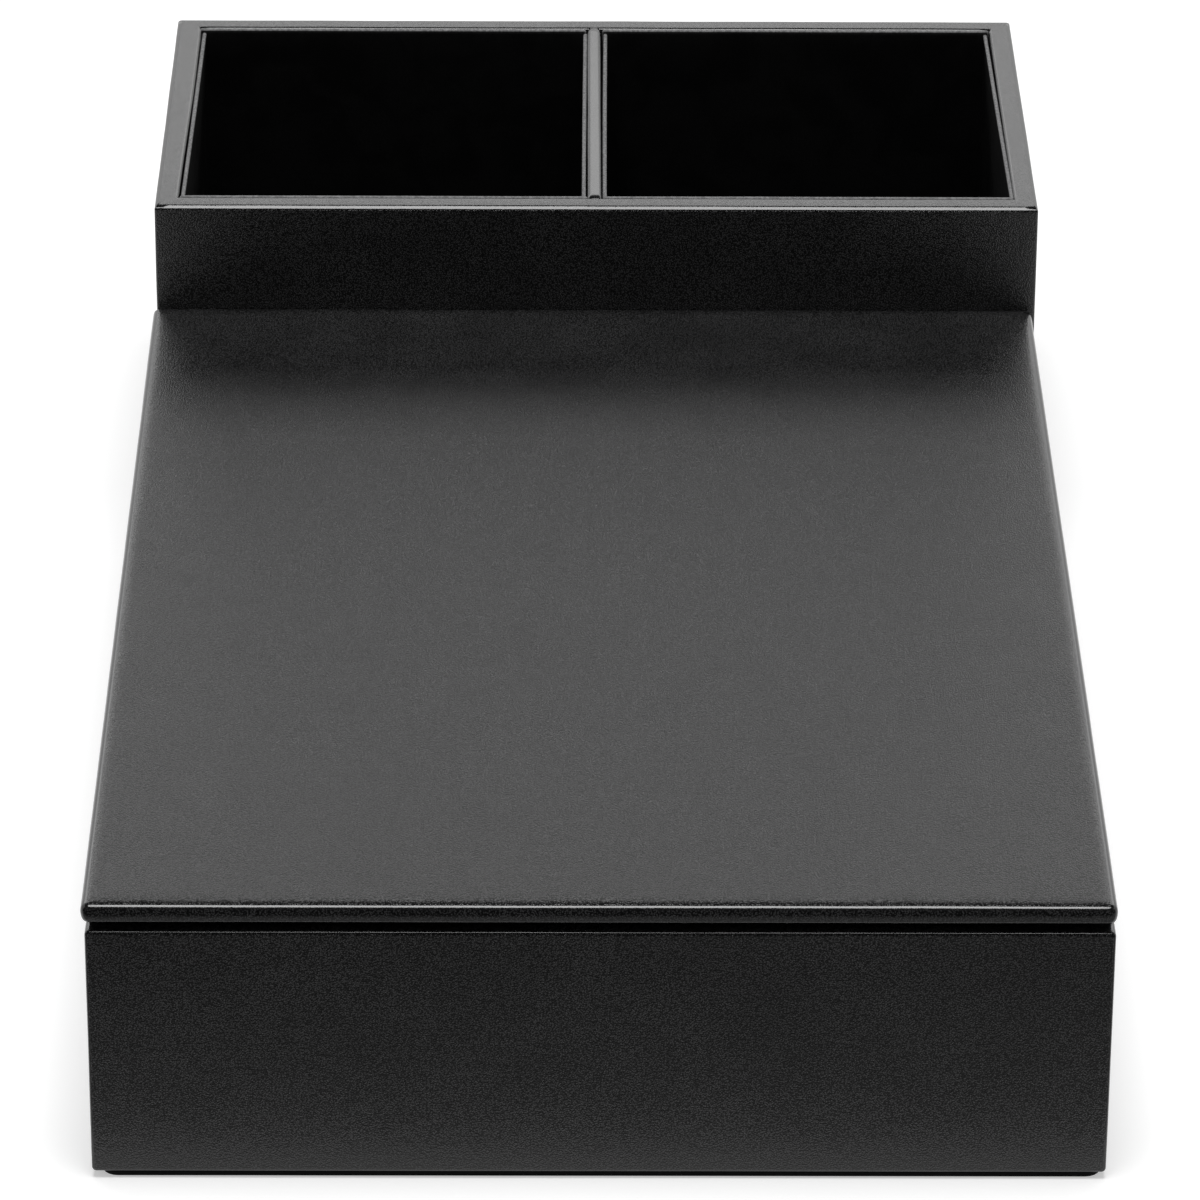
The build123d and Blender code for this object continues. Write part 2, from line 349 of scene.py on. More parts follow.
def makeLeatherette(name, look):
    material, tree, shader, place = startMaterial(name)
    grain = placeGroup(tree, fineGrain, place, Pebbles_per_metre=look["pebbles"])
    patches = placeGroup(
        tree, unevenness, place, Patches_per_metre=look["patches"], Contrast=look["patchContrast"]
    )
    edge = placeGroup(tree, edgePullAndPaint, place, Breaks_per_metre=look["edgeBreaks"])
    colour = mixColours(tree, patches.outputs["Mask"], look["colour"], look["patchColour"])
    # The grain's own texture, with painted shade: the pebbles' tops are painted lighter and the
    # creases between them darker
    shade = rangeNode(tree, grain.outputs["Height"], *look["grainHeights"], *look["paintedGrainShade"])
    colour = mixColours(tree, 1.0, colour, shade, "MULTIPLY")
    # Painted shade: the pores in the creases between pebbles are painted darker
    colour = mixColours(tree, grain.outputs["Pores"], colour, look["paintedPoreShade"])
    # Painted shade: where the cover turns over an edge it is painted darker
    colour = mixColours(tree, edge.outputs["PaintedEdge"], colour, look["paintedEdgeColour"])
    tree.links.new(addDust(tree, place, look["dust"], colour), shader.inputs["Base Color"])
    rough = rangeNode(tree, patches.outputs["Mask"], 0.0, 1.0, *look["roughness"])
    pores = times(tree, grain.outputs["Pores"], look["poreRoughness"])
    rough = mathNode(tree, "ADD", rough, pores)
    # Where the skin is stretched it is smoother, and its grain nearly gone
    tight = rangeNode(tree, edge.outputs["Pull"], 0.0, look["edgePull"], 0.0, 1.0)
    loose = mathNode(tree, "SUBTRACT", 1.0, tight)
    smooth = times(tree, tight, look["edgeRoughness"])
    rough = mathNode(tree, "ADD", times(tree, rough, loose), smooth)
    tree.links.new(rough, shader.inputs["Roughness"])
    flattened = times(tree, tight, look["edgeFlattening"])
    height = times(tree, grain.outputs["Height"], mathNode(tree, "SUBTRACT", 1.0, flattened))
    addBump(tree, shader, height, look["grainDepth"])
    shader.inputs["IOR"].default_value = look["ior"]
    return material


velveteen = {
    "colour": (0.0030, 0.0030, 0.0031, 1),
    "leanColour": (0.0050, 0.0050, 0.0051, 1),
    # painted highlight: a liner's upper edge is painted light
    "paintedEdgeColour": (0.26, 0.26, 0.262, 1),
    "roughness": (0.75, 0.92),
    "sheen": 0.0,
    "specular": 0.06,
    "pileDepth": 0.06 * mm,
    "tufts": 3200.0,
    "leaning": 70.0,
}

# What every pile fabric here has in common
pileWear = {
    "edgeBreaks": 1300.0,
    "edgeGloss": 0.3,
    "tuftTones": (0.55, 1.0),
    "sheenRoughness": 0.4,
    "dust": (420.0, 0.15, (0.12, 0.12, 0.12, 1)),
}


def makePile(name, look):
    material, tree, shader, place = startMaterial(name)
    pile = placeGroup(
        tree, shortPile, place, Tufts_per_metre=look["tufts"], Leaning_per_metre=look["leaning"]
    )
    edge = placeGroup(tree, edgePullAndPaint, place, Breaks_per_metre=pileWear["edgeBreaks"])
    colour = mixColours(tree, pile.outputs["Lean"], look["colour"], look["leanColour"])
    shade = rangeNode(tree, pile.outputs["Height"], 0.3, 0.7, *pileWear["tuftTones"])
    colour = mixColours(tree, 1.0, colour, shade, "MULTIPLY")
    # Painted highlight: pulled edges, most of all a liner's upper edge, are painted lighter
    colour = mixColours(tree, edge.outputs["PaintedEdge"], colour, look["paintedEdgeColour"])
    tree.links.new(addDust(tree, place, pileWear["dust"], colour), shader.inputs["Base Color"])
    rough = rangeNode(tree, pile.outputs["Lean"], 0.0, 1.0, *look["roughness"])
    gloss = times(tree, edge.outputs["Pull"], pileWear["edgeGloss"])
    tree.links.new(mathNode(tree, "SUBTRACT", rough, gloss), shader.inputs["Roughness"])
    addBump(tree, shader, pile.outputs["Height"], look["pileDepth"])
    shader.inputs["Sheen Weight"].default_value = look["sheen"]
    shader.inputs["Sheen Roughness"].default_value = pileWear["sheenRoughness"]
    shader.inputs["Specular IOR Level"].default_value = look["specular"]
    return material


felt = {
    "colour": (0.006, 0.006, 0.006, 1),
    "leanColour": (0.011, 0.011, 0.011, 1),
    # painted highlight, faint: the turned edges are painted a little lighter
    "paintedEdgeColour": (0.014, 0.014, 0.014, 1),
    "roughness": (0.88, 0.98),
    "sheen": 0.03,
    "specular": 0.1,
    "pileDepth": 0.12 * mm,
    "tufts": 1700.0,
    "leaning": 110.0,
}

liningCloth = {
    "colour": (0.010, 0.010, 0.0105, 1),
    "crossColour": (0.024, 0.024, 0.025, 1),
    "patchColour": (0.03, 0.03, 0.03, 1),
    "patchShare": 0.35,
    "dust": (500.0, 0.25, (0.14, 0.14, 0.14, 1)),
    "roughness": (0.9, 0.72),
    "sheen": 0.05,
    "threads": 1500.0,
    "depth": 0.06 * mm,
}


def makeLiningCloth(name, look):
    material, tree, shader, place = startMaterial(name)
    weave = placeGroup(tree, plainWeave, place, Threads_per_metre=look["threads"])
    patches = placeGroup(tree, unevenness, place, Patches_per_metre=30.0, Contrast=0.4)
    shade = rangeNode(tree, weave.outputs["Height"], 0.2, 0.9, 0.0, 1.0)
    colour = mixColours(tree, shade, look["colour"], look["crossColour"])
    faded = times(tree, patches.outputs["Mask"], look["patchShare"])
    colour = mixColours(tree, faded, colour, look["patchColour"])
    tree.links.new(addDust(tree, place, look["dust"], colour), shader.inputs["Base Color"])
    rough = rangeNode(tree, shade, 0.0, 1.0, *look["roughness"])
    tree.links.new(rough, shader.inputs["Roughness"])
    addBump(tree, shader, weave.outputs["Height"], look["depth"])
    shader.inputs["Sheen Weight"].default_value = look["sheen"]
    return material


fibreboard = {
    "colour": (0.30, 0.215, 0.14, 1),
    "fleckColour": (0.17, 0.11, 0.065, 1),
    "patchShare": 0.3,
    "dust": (700.0, 0.3, (0.5, 0.45, 0.38, 1)),
    "roughness": (0.75, 0.95),
    "fibres": 1500.0,
    "flecks": 900.0,
    "depth": 0.05 * mm,
}


def makeFibreboard(name, look):
    material, tree, shader, place = startMaterial(name)
    squeezed = addNode(tree, "ShaderNodeMapping", Vector=place, Scale=(1.0, 0.35, 1.0))
    fibres = noiseNode(tree, squeezed.outputs[0], look["fibres"], Detail=6.0, Roughness=0.7)
    flecks = pointsNode(tree, squeezed.outputs[0], look["flecks"])
    patches = placeGroup(tree, unevenness, place, Patches_per_metre=45.0, Contrast=0.4)
    dark = rangeNode(tree, flecks.outputs["Distance"], 0.1, 0.5, 0.5, 0.0)
    dark = times(tree, dark, fibres)
    colour = mixColours(tree, dark, look["colour"], look["fleckColour"])
    stained = times(tree, patches.outputs["Mask"], look["patchShare"])
    colour = mixColours(tree, stained, colour, look["fleckColour"])
    tree.links.new(addDust(tree, place, look["dust"], colour), shader.inputs["Base Color"])
    rough = rangeNode(tree, fibres, 0.3, 0.7, *look["roughness"])
    tree.links.new(rough, shader.inputs["Roughness"])
    addBump(tree, shader, fibres, look["depth"])
    return material


finishes = {
    "leatherette": makeLeatherette("blackLeatherette", leatherette),
    "velveteen": makePile("blackVelveteen", velveteen),
    "felt": makePile("blackFelt", felt),
    "lining_cloth": makeLiningCloth("blackLiningCloth", liningCloth),
    "fibreboard": makeFibreboard("rawFibreboard", fibreboard),
}
print("materials ready")

# mesh helpers

rightAngle = math.radians(90)
cornerCount = 5  # steps round each corner of a ring


def ringPoints(halfU, halfV, radii, countU, countV):
    # Points anticlockwise round a rectangle whose four corners, from the lower left one, have
    # their own radii. Every ring with the same counts has the same number of points.
    corners = ((-1, -1), (1, -1), (1, 1), (-1, 1))

    def onCorner(k, angle):
        radius, (signU, signV) = radii[k % 4], corners[k % 4]
        return (
            signU * (halfU - radius) + radius * math.cos(angle),
            signV * (halfV - radius) + radius * math.sin(angle),
        )

    points = []
    for k, count in enumerate((countU, countV, countU, countV)):
        begin = math.radians(180 + 90 * k)
        end = begin + rightAngle
        points += [onCorner(k, begin + rightAngle * j / cornerCount) for j in range(cornerCount)]
        (u, v), (endU, endV) = onCorner(k, end), onCorner(k + 1, end)
        shares = [j / count for j in range(count)]
        points += [(u + (endU - u) * share, v + (endV - v) * share) for share in shares]
    return points


def ringMaker(halfU, halfV, radii, cell):
    # Rings round a rectangle, each an inset in from its sides and at a height, and how many
    # cells each side has
    countU, countV = cellsFor(2 * halfU, cell), cellsFor(2 * halfV, cell)

    def ring(inset, height):
        inner = [max(radius - inset, 0) for radius in radii]
        points = ringPoints(halfU - inset, halfV - inset, inner, countU, countV)
        return [(u, v, height) for u, v in points]
    return ring, countU, countV


def loftRings(mesh, rings, closed=True):
    # Quads between one ring of points and the next
    rows = [[mesh.verts.new(point) for point in ring] for ring in rings]
    for near, far in zip(rows, rows[1:]):
        for i in range(len(near) if closed else len(near) - 1):
            j = (i + 1) % len(near)
            mesh.faces.new((near[i], far[i], far[j], near[j]))


def flatGrid(mesh, halfU, halfV, countU, countV, height):
    # A flat grid that fills a ring with sharp corners
    rows = []
    for j in range(countV + 1):
        v = -halfV + 2 * halfV * j / countV
        rows.append([(-halfU + 2 * halfU * i / countU, v, height) for i in range(countU + 1)])
    loftRings(mesh, rows, closed=False)


def quarterTurn(count, radius=1.0):
    # Round a quarter circle in even steps: how far along, and how far is left to go the other
    # way. The pairs run from (0, radius) to (radius, 0).
    angles = [rightAngle * i / count for i in range(count + 1)]
    return [(radius - radius * math.cos(a), radius - radius * math.sin(a)) for a in angles]


def cellsFor(length, size):
    return max(2, round(length / size))


def spaced(first, last, size):
    count = cellsFor(abs(last - first), size)
    return [first + (last - first) * i / count for i in range(count + 1)]


def smoothStep(value):
    value = min(max(value, 0.0), 1.0)
    return value * value * (3 - 2 * value)


pullMarks = {"fullTurn": 0.27, "smoothing": 2}


def markPull(mesh, stretched):
    # How far each point is pulled over an edge: high where the surface turns
    def average(pulls, vert):
        near = [pulls[edge.other_vert(vert).index] for edge in vert.link_edges]
        return 0.5 * pulls[vert.index] + 0.5 * sum(near) / len(near)

    mesh.verts.index_update()
    turns = [max(0.0, 1 - max(abs(c) for c in vert.normal)) for vert in mesh.verts]
    pulls = [turn / pullMarks["fullTurn"] for turn in turns]
    for _ in range(pullMarks["smoothing"]):
        pulls = [average(pulls, vert) for vert in mesh.verts]
    if stretched:
        pulls = [max(pull, stretched(vert.co)) for pull, vert in zip(pulls, mesh.verts)]
    return np.clip(np.array(pulls, np.float32), 0, 1)


surfaceWaves = {"fineSize": 0.28, "fineShare": 0.35, "inwards": 0.6, "calmWherePulled": 0.6}


def makeUneven(mesh, depth, size, seed, pulls):
    # Hand-made surfaces are never quite flat. Points mostly move inwards, and less where the
    # cover is pulled tight.
    fineSize, fineShare, inwards, calm = surfaceWaves.values()
    for vert, pull in zip(mesh.verts, pulls):
        broad = noise.noise(vert.co / size + Vector((seed, seed * 1.7, seed * 0.3)))
        fine = noise.noise(vert.co / (size * fineSize) + Vector((seed * 2.1, 4.0, seed)))
        wave = broad + fineShare * fine - inwards
        vert.co += vert.normal * depth * (1 - calm * float(pull)) * wave


def meshObject(name, mesh, material):
    data = bpy.data.meshes.new(name)
    mesh.to_mesh(data)
    mesh.free()
    data.materials.append(material)
    return addToScene(name, data)


def finishPiece(mesh, name, placement, body, slot, replaced, uneven, seed, facing=None,
                thickness=0.0, stretched=None, reshape=None):
    # Welds a mesh, shapes and marks it, and puts it in place on its body. facing is a point
    # near the surface and the way that it faces there.
    bmesh.ops.remove_doubles(mesh, verts=mesh.verts, dist=0.002 * mm)
    bmesh.ops.dissolve_degenerate(mesh, edges=mesh.edges, dist=0.0001 * mm)
    bmesh.ops.recalc_face_normals(mesh, faces=mesh.faces)
    if facing:
        point, way = Vector(facing[0]), Vector(facing[1])
        nearest = min(mesh.faces, key=lambda face: (face.calc_center_median() - point).length)
        if nearest.normal.dot(way) < 0:
            bmesh.ops.reverse_faces(mesh, faces=mesh.faces)
    mesh.normal_update()
    pulls = markPull(mesh, stretched)
    makeUneven(mesh, *uneven, seed, pulls)
    if reshape:
        for vert in mesh.verts:
            vert.co = reshape(vert.co)
    if placement.to_3x3().determinant() < 0:
        bmesh.ops.reverse_faces(mesh, faces=mesh.faces)
    piece = meshObject(name, mesh, finishes[slot])
    # The pull sets the stretched skin's smoothness and flattened grain, and where the painted edge
    # tone goes
    piece.data.attributes.new("pull", "FLOAT", "POINT").data.foreach_set("value", pulls)
    piece.data.shade_smooth()
    piece.data.transform(placement)
    if thickness:
        shell = piece.modifiers.new("thickness", "SOLIDIFY")
        shell.thickness, shell.offset, shell.use_rim = thickness, -1, True
    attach(piece, body)
    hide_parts(*replaced)
    return piece


def placed(origin, across, along, out):
    # From a flat layout in u, v and height to the row frame
    matrix = Matrix((Vector(across), Vector(along), Vector(out))).transposed().to_4x4()
    matrix.translation = Vector(origin)
    return matrix


def extent(name):
    # Lowest corner, highest corner and middle of a CAD node
    low, high = (Vector(corner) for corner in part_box(name))
    return low, high, (low + high) / 2


upright = ((1, 0, 0), (0, 1, 0), (0, 0, 1))
facingFront = ((1, 0, 0), (0, 0, 1), (0, -1, 0))
facingBack = ((-1, 0, 0), (0, 0, 1), (0, 1, 0))
facingRight = ((0, 1, 0), (0, 0, 1), (1, 0, 0))
facingLeft = ((0, 1, 0), (0, 0, 1), (-1, 0, 0))

# leatherette wraps

wrapFolds = {
    "sheet": 0.552 * mm,
    "fold": 1.2 * mm,  # radius at a box's lower edge and the divider's upper one
    "inside": 1.0 * mm,  # radius where a rim turns down inside
    "corner": 0.5 * mm,
    "swell": 0.44 * mm,
    "swellDepth": 9.0 * mm,
    "tilt": 0.03 * mm,
    "turnIn": 15.0 * mm,
    "turnUnder": 12.0 * mm,
    "slit": 0.3 * mm,
    "cell": 3.0 * mm,
    "uneven": (0.07 * mm, 24 * mm),
    "topBand": 0.4 * mm,  # what lies higher than this below the top is stretched
    "rimStretch": 0.13,
    "dividerStretch": 0.9,
    "panelStretch": 0.15,
}


def stretchedTop(height, amount):
    return lambda p: amount if p.z > height - wrapFolds["topBand"] else 0.0


def underFlaps(mesh, halfU, halfV, countU, countV, fold, depth, corner):
    # Four flaps glued down under a piece, mitred where they meet. They start at the end of
    # the lower edge's curve, fold in from the side.
    def turned(u, v, turn):
        cosine, sine = math.cos(turn), math.sin(turn)
        return u * cosine - v * sine, u * sine + v * cosine, 0.0

    insets = [fold, fold + 1.2 * mm] + spaced(fold + 3 * mm, depth, 3 * mm)
    for k in range(4):
        alongHalf, acrossHalf, count = ((halfU, halfV, countU), (halfV, halfU, countV))[k % 2]
        turn, shares = math.radians(90 * k), [2 * j / count - 1 for j in range(count + 1)]
        rows = []
        for i, inset in enumerate(insets):
            reach = alongHalf - fold - corner
            if i:
                reach = alongHalf - max(inset, fold + corner) - wrapFolds["slit"]
            rows.append([turned(reach * share, inset - acrossHalf, turn) for share in shares])
        loftRings(mesh, rows, closed=False)


def wrapPanel(name, node, axes, look, body, seed):
    # One cover round a board: over the face and the eased edges, and down in flaps on its back.
    # An edge is a curve down from the face and a quarter ellipse up from the back, with a
    # straight side between them where there is room.
    low, high, middle = extent(node)
    across, along, out = (Vector(axis) for axis in axes)
    size = high - low
    halfU, halfV, depth = (abs(size.dot(axis)) / 2 for axis in (across, along, out))
    depth *= 2
    curve, fold, up, corner = (look[k] for k in ("curve", "fold", "up", "corner"))
    over, down = curve[0][0] * mm, curve[-1][1] * mm
    ring, countU, countV = ringMaker(halfU, halfV, [corner] * 4, wrapFolds["cell"])
    mesh = bmesh.new()
    margin = over + 1.9 * mm
    flatGrid(mesh, halfU - margin, halfV - margin, countU, countV, depth)
    rings = [ring(margin, depth), ring(over + 0.5 * mm, depth)]
    rings += [ring(inset * mm, depth - drop * mm) for inset, drop in curve]
    if depth - down - up > 0.2 * mm:
        rings += [ring(0, h) for h in spaced(depth - down, up, 1.2 * mm)[1:-1]] + [ring(0, up)]
    rings += [ring(fold * gone, up * left) for gone, left in quarterTurn(7)[1:]]
    loftRings(mesh, rings)
    underFlaps(mesh, halfU, halfV, countU, countV, fold, wrapFolds["turnIn"], corner - fold)

    def stretchedEdge(p):
        # From nothing at 0.8 of the curve's width to all at a tenth of it
        inset = min(halfU - abs(p.x), halfV - abs(p.y))
        return wrapFolds["panelStretch"] * smoothStep((0.8 * over - inset) / (0.7 * over))

    piece = finishPiece(
        mesh, name, placed(middle - out * depth / 2, *axes), body, "leatherette", [node],
        facing=((0, 0, depth), (0, 0, 1)), thickness=wrapFolds["sheet"], uneven=look["uneven"],
        seed=seed, stretched=stretchedEdge,
    )
    extra = depth + wrapFolds["turnIn"]
    return piece, (2 * (halfU + extra), 2 * (halfV + extra))


# The curve from a rim's flat top to its outer side: how far in from the side, and how far
# below the top. It is flatter over the board's sharp edge.
rimCurve = (
    (2.2, 0.0), (1.6, 0.005), (1.4, 0.01), (1.3, 0.025), (1.2, 0.06), (1.0, 0.185), (0.8, 0.315),
    (0.6, 0.45), (0.4, 0.60), (0.22, 0.755), (0.12, 0.875), (0.05, 1.01), (0.015, 1.14), (0.0, 1.3),
)


# Where a rim's swelling begins on its top, ends inside, and over what length it fades there
rimSwell = {"from": 3.0 * mm, "past": 1.5 * mm, "fade": 12.0 * mm, "fullAt": 0.75}


def wrapBox(name, node, look, body, seed):
    # One cover round an open box: up the outside, over the rim, and down inside it
    low, high, middle = extent(node)
    halfU, halfV, height = (high.x - low.x) / 2, (high.y - low.y) / 2, high.z - low.z
    wall, cell, (leftSwell, rightSwell, backSwell) = look["wall"], look["cell"], look["swells"]
    fold, inside, swell = wrapFolds["fold"], wrapFolds["inside"], wrapFolds["swell"]
    ring, countU, countV = ringMaker(halfU, halfV, [wrapFolds["corner"]] * 4, cell)

    def upper(depth):
        return smoothStep(1 - depth / wrapFolds["swellDepth"])

    def reach(inset, z):
        # Full on the rim's inner edge, none on its outer half, far inside, or deep down
        near = smoothStep((inset - rimSwell["from"]) / (wall - rimSwell["from"]))
        far = smoothStep((inset - wall - rimSwell["past"]) / rimSwell["fade"])
        return near * (1 - far) * upper(height - z)

    def rimTilt(inset):
        # The front rim's top leans forward
        return min(max((wall - inset) / (wall - 1.7 * mm), 0), 1) ** 2

    def swellIn(p):
        along = smoothStep((p.y + halfV) / (2 * halfV) / rimSwell["fullAt"])
        side = leftSwell if p.x < 0 else rightSwell
        moveX = side * along * reach(halfU - abs(p.x), p.z)
        moveY = backSwell * reach(halfV - p.y, p.z) if p.y > 0 else 0.0
        ends = smoothStep((halfU - abs(p.x) - 0.5 * mm) / (3 * mm))
        low = wrapFolds["tilt"] * ends * rimTilt(p.y + halfV) if p.z > height - 2 * mm else 0.0
        return Vector((p.x + (moveX if p.x < 0 else -moveX), p.y - moveY, p.z - low))

    # The turned-in flap swells a little where it comes over the rim
    depths = spaced(wrapFolds["turnIn"], inside, cell)
    rings = [ring(wall + swell * upper(depth), height - depth) for depth in depths]
    inner, curveStart = wall + swell * upper(inside), rimCurve[0][0] * mm
    rings += [ring(inner - gone, height - left) for gone, left in quarterTurn(5, inside)[1:]]
    rings += [ring(inset, height) for inset in spaced(inner - inside, curveStart, 0.9 * mm)[1:-1]]
    rings += [ring(inset * mm, height - drop * mm) for inset, drop in rimCurve]
    rings += [ring(0, z) for z in spaced(height - rimCurve[-1][1] * mm, fold, cell)[1:-1]]
    rings += [ring(gone, left) for gone, left in quarterTurn(5, fold)]
    mesh = bmesh.new()
    loftRings(mesh, rings)
    underFlaps(mesh, halfU, halfV, countU, countV, fold, wrapFolds["turnUnder"], 0.0)
    piece = finishPiece(
        mesh, name, placed((middle.x, middle.y, low.z), *upright), body, "leatherette", [node],
        facing=((0, -halfV, height / 2), (0, -1, 0)), thickness=wrapFolds["sheet"],
        uneven=wrapFolds["uneven"], stretched=stretchedTop(height, wrapFolds["rimStretch"]),
        seed=seed, reshape=swellIn,
    )
    cut = wrapFolds["turnUnder"] + height + wall + wrapFolds["turnIn"]
    return piece, (4 * (halfU + halfV), cut)


def sweepSheet(profile, places):
    # A profile of (u, w) points carried along v
    mesh = bmesh.new()
    loftRings(mesh, [[(u, v, w) for v in places] for u, w in profile], closed=False)
    return mesh


# How much wider the divider's cover is to the left and right, at the front and by how much
# that changes towards the back in mm, and how its ends run on
stripLook = {
    "left": (0.8, -0.5),
    "right": (-0.4, 0.55),
    "depth": 14.0 * mm,
    "tip": 0.42 * mm,
    "tipDrop": 1.1 * mm,
}


def foldOver(name, node, seed):
    # A strip folded over the upper edge of a thin board
    low, high, middle = extent(node)
    half, height, fold = (high.x - low.x) / 2, high.z - low.z, wrapFolds["fold"]
    profile = [(-half, w) for w in spaced(0, height - fold, 4 * mm)]
    profile += [(gone - half, height - left) for gone, left in quarterTurn(6, fold)[1:]]
    profile += [(u, height) for u in spaced(fold - half, half - fold, 0.8 * mm)[1:-1]]
    profile += [(half - left, height - gone) for gone, left in quarterTurn(6, fold)]
    profile += [(half, w) for w in spaced(height - fold, 0, 4 * mm)[1:]]
    halfV, tip = (high.y - low.y) / 2, stripLook["tip"]
    ends = [halfV + tip * i / 3 for i in (1, 2, 3)]
    places = [-v for v in reversed(ends)] + spaced(-halfV, halfV, wrapFolds["cell"]) + ends
    mesh = sweepSheet(profile, places)

    def shapeStrip(p):
        # The strip's ends run on over the rims' inner curves. It is folded by hand, wider at
        # the front and leaning to the left there.
        beyond = max(abs(p.y) - halfV, 0) / tip
        upper = smoothStep(1 - (height - p.z) / stripLook["depth"])
        front, change = stripLook["left" if p.x < 0 else "right"]
        wider = (front + change * (p.y + halfV) / (2 * halfV)) * mm
        side = math.copysign(1, p.x) * min(abs(p.x) / half, 1)
        drop = stripLook["tipDrop"] * beyond ** 2
        return Vector((p.x + wider * side * upper, p.y, p.z - drop))

    piece = finishPiece(
        mesh, name, placed((middle.x, middle.y, low.z), *upright), "carcass", "leatherette", [node],
        facing=((0, 0, height), (0, 0, 1)), thickness=wrapFolds["sheet"],
        uneven=wrapFolds["uneven"], stretched=stretchedTop(height, wrapFolds["dividerStretch"]),
        seed=seed, reshape=shapeStrip,
    )
    return piece, (2 * halfV, 2 * (height + half))


housingWall = 6.4 * mm  # with its cover on both sides


def wrapSideWall(name, node, inward, seed):
    # The cover of a housing wall: turned round its front edge and under its lower edge
    low, high, _ = extent(node)
    outer = low.x if inward > 0 else high.x
    depth, length, height = housingWall, high.y - low.y, high.z - low.z
    fold, turnIn, turnUnder = (wrapFolds[k] for k in ("fold", "turnIn", "turnUnder"))
    inner = [(depth, v) for v in spaced(turnIn, fold, 3 * mm)]
    inner += [(depth - gone, left) for gone, left in quarterTurn(5, fold)[1:]]
    inner += [(u, 0.0) for u in spaced(depth - fold, fold, 1.5 * mm)[1:-1]]
    inner += [(left, gone) for gone, left in quarterTurn(5, fold)]
    side = [(0.0, v) for v in spaced(fold, length, 4 * mm)]
    mesh = bmesh.new()
    levels = spaced(fold, height, 3 * mm)
    loftRings(mesh, [[(u, v, w) for w in [0.0] + levels] for u, v in inner], closed=False)
    loftRings(mesh, [[(u, v, w) for w in levels] for u, v in side], closed=False)
    under = quarterTurn(5, fold) + [(u, 0.0) for u in spaced(fold, turnUnder, 3 * mm)[1:]]
    loftRings(mesh, [[(u, v, w) for _, v in side] for u, w in under], closed=False)
    piece = finishPiece(
        mesh, name, placed((outer, low.y, low.z), (inward, 0, 0), (0, 1, 0), (0, 0, 1)), "carcass",
        "leatherette", [node], facing=((0, length / 2, height / 2), (-1, 0, 0)),
        thickness=wrapFolds["sheet"], uneven=wrapFolds["uneven"], seed=seed,
    )
    return piece, (length + depth + turnIn, height + turnUnder)


# cards and cloths


def cardPiece(name, node, axes, body, slot, look, seed, reshape=None, paintedLitTop=False):
    # A flat closed piece with rounded edges: a covered card, or a cloth glued down
    low, high, middle = extent(node)
    size = high - low
    halfU, halfV, half = (abs(size.dot(Vector(axis))) / 2 for axis in axes)
    edge, corners = look["edge"], look["corners"]
    ring, countU, countV = ringMaker(halfU, halfV, corners, look["cell"])
    mesh = bmesh.new()
    margin = max(max(corners), edge) + 0.4 * mm
    flatGrid(mesh, halfU - margin, halfV - margin, countU, countV, half)
    flatGrid(mesh, halfU - margin, halfV - margin, countU, countV, -half)
    rings = [ring(margin, half)]
    rings += [ring(left, half - gone) for gone, left in quarterTurn(4, edge)]
    if half - edge > 0.05 * mm:
        rings += [ring(0, h) for h in spaced(half - edge, edge - half, 1.0 * mm)[1:-1]]
    rings += [ring(gone, left - half) for gone, left in quarterTurn(4, edge)]
    rings += [ring(margin, -half)]
    loftRings(mesh, rings)
    # A liner's upper band is marked fully pulled, so that it takes the painted highlight
    piece = finishPiece(
        mesh, name, placed(middle, *axes), body, slot, [node], uneven=look["uneven"], seed=seed,
        reshape=reshape(halfU, halfV) if reshape else None,
        stretched=(lambda p: float(p.y > halfV - linerLook["paintedLitBand"])) if paintedLitTop else None,
    )
    return piece, (2 * halfU, 2 * halfV)


# The corners of a card are its two lower and its two upper ones
linerLook = {
    "edge": 0.6 * mm,
    "corners": (0.6 * mm, 0.6 * mm, 1.0 * mm, 1.0 * mm),
    "cell": 3.5 * mm,
    "uneven": (0.10 * mm, 30 * mm),
    "curlDown": 0.5 * mm,
    "paintedLitBand": 0.45 * mm,  # how far down the upper edge takes the painted highlight
    "frontTop": (-0.25 * mm, 0.45 * mm),  # lean and lift
    "backTop": (-0.3 * mm, 0.45 * mm),
    "sideReach": 40 * mm,  # how far down a side liner stands off, and an end liner leans
    "endReach": 25 * mm,
}

padLook = {
    "edge": 0.7 * mm,
    "corners": (1.0 * mm,) * 4,
    "cell": 4.0 * mm,
    "uneven": (0.10 * mm, 22 * mm),
    "crown": 0.25 * mm,
}


def upperShare(v, halfV, reach):
    # 1 at the upper edge, 0 from some way below it
    return smoothStep((v - (halfV - reach)) / reach)


def standOff(front, back, bow):
    # A side liner comes away from its wall at the top, or lies against it
    def forSize(halfU, halfV):
        def move(p):
            along = (p.x + halfU) / (2 * halfU)
            upper = upperShare(p.y, halfV, linerLook["sideReach"])
            off = front + (back - front) * along + bow * math.sin(math.pi * along)
            curl = linerLook["curlDown"] * along ** 6
            return Vector((p.x, p.y - curl * upper, p.z + off * upper))
        return move
    return forSize


def leanOn(lean, lift):
    # An end liner may lean on its wall at the top, and stand a little high
    def forSize(halfU, halfV):
        def move(p):
            upper = upperShare(p.y, halfV, linerLook["endReach"])
            return Vector((p.x, p.y + lift * upper, p.z - lean * upper))
        return move
    return forSize


def crownPad(halfU, halfV):
    # A floor pad stands a little higher in its middle
    def move(p):
        crown = (1 - (p.x / halfU) ** 2) * (1 - (p.y / halfV) ** 2)
        return Vector((p.x, p.y, p.z + (padLook["crown"] * crown if p.z > 0 else 0)))
    return move


